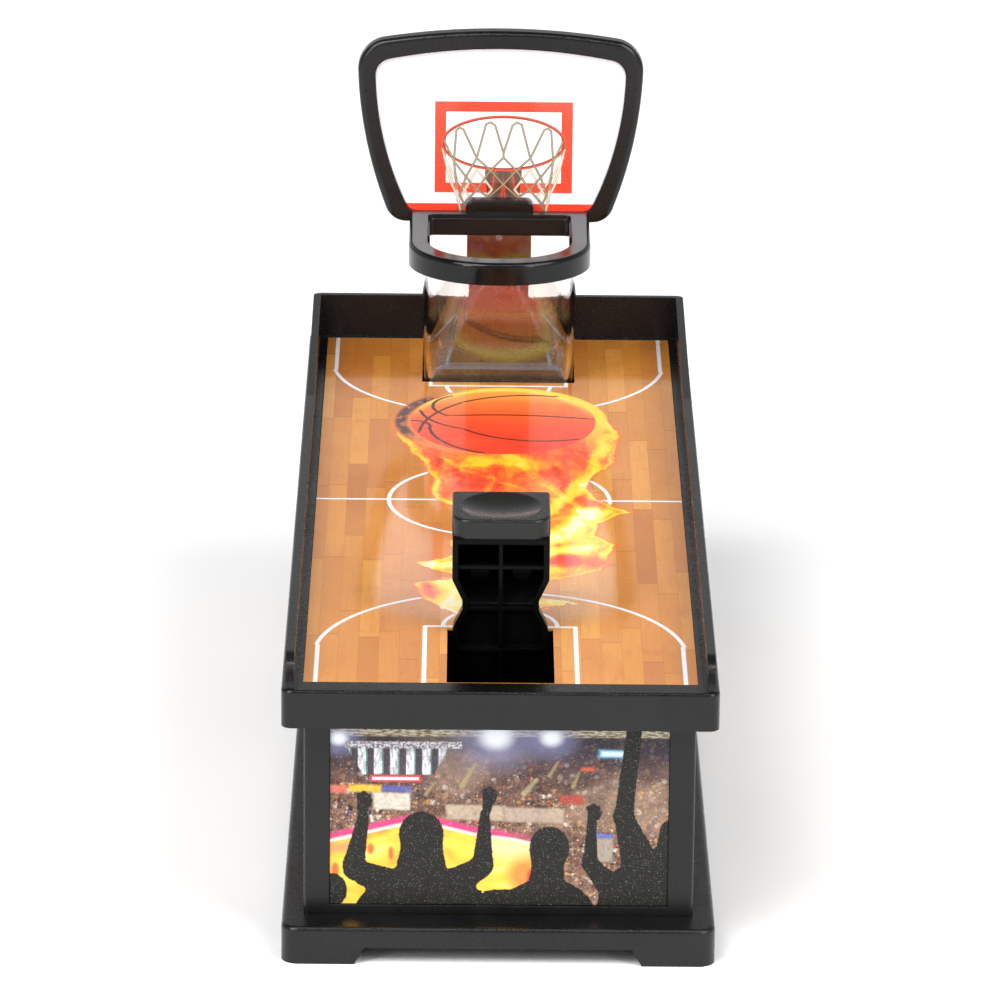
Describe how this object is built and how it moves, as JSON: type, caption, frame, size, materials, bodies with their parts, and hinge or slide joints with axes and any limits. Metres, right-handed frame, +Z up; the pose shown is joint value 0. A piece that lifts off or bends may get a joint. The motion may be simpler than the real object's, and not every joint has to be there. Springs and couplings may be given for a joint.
{
  "type": "tabletop basketball game",
  "caption": "Tabletop basketball game: a sloping court tray on a picture-sided plinth, a spring-back shooting lever, a clear ball hopper with a D-shaped rim, and a framed backboard.",
  "frame": {"origin": "on the table, under the middle of the base", "axes": "+X across to the player's right, +Y away from the player to the backboard, +Z up"},
  "size_m": [0.115, 0.312, 0.1802],
  "materials": {
    "base_plate": "satin black ABS with a fine moulded grain",
    "body_shell": "satin black ABS",
    "picture_front": "laminated printed card, fine speckle, arena crowd print",
    "picture_back": "laminated printed card, arena crowd print",
    "picture_left": "laminated printed card, arena crowd print",
    "picture_right": "laminated printed card, arena crowd print",
    "tray": "semi-gloss black ABS",
    "court_sheet": "glossy laminated print of a wooden court with a flaming ball",
    "launcher_bracket": "black ABS",
    "stop_block": "black rubber",
    "launcher_lever": "semi-gloss black ABS, ribbed",
    "finger_pad": "dark grey, fine matt grain",
    "lever_pin": "plain steel",
    "pin_clips": "phosphated spring steel",
    "return_spring": "zinc-plated spring wire",
    "hopper": "clear polystyrene",
    "rim": "semi-gloss black ABS",
    "column": "satin black ABS",
    "backboard_frame": "semi-gloss black ABS",
    "backboard_print": "laminated print, white with red marks and a drawn hoop",
    "base_screws": "zinc-plated steel",
    "tray_screws": "zinc-plated steel",
    "bracket_screws": "zinc-plated steel",
    "column_screws": "zinc-plated steel",
    "backboard_screws": "zinc-plated steel"
  },
  "bodies": {
    "console": {"base_plate": "base_plate", "body_shell": "body_shell", "picture_front": "picture_front", "picture_back": "picture_back", "picture_left": "picture_left", "picture_right": "picture_right", "tray": "tray", "court_sheet": "court_sheet", "launcher_bracket": "launcher_bracket", "stop_block": "stop_block", "lever_pin": "lever_pin", "pin_clips": "pin_clips", "return_spring": "return_spring", "hopper": "hopper", "rim": "rim", "column": "column", "backboard_frame": "backboard_frame", "backboard_print": "backboard_print", "base_screws": "base_screws", "tray_screws": "tray_screws", "bracket_screws": "bracket_screws", "column_screws": "column_screws", "backboard_screws": "backboard_screws"},
    "launcher": {"launcher_lever": "launcher_lever", "finger_pad": "finger_pad"}
  },
  "joints": [
    {"name": "launcher_pull", "type": "hinge", "parent": "console", "child": "launcher", "pos_m": [0, -0.1098, 0.05072], "axis": [1, 0, 0], "range_deg": [0, 48], "stiffness_Nm_per_rad": 0.03, "springref_deg": -20.05, "deforming": ["return_spring"]}
  ]
}
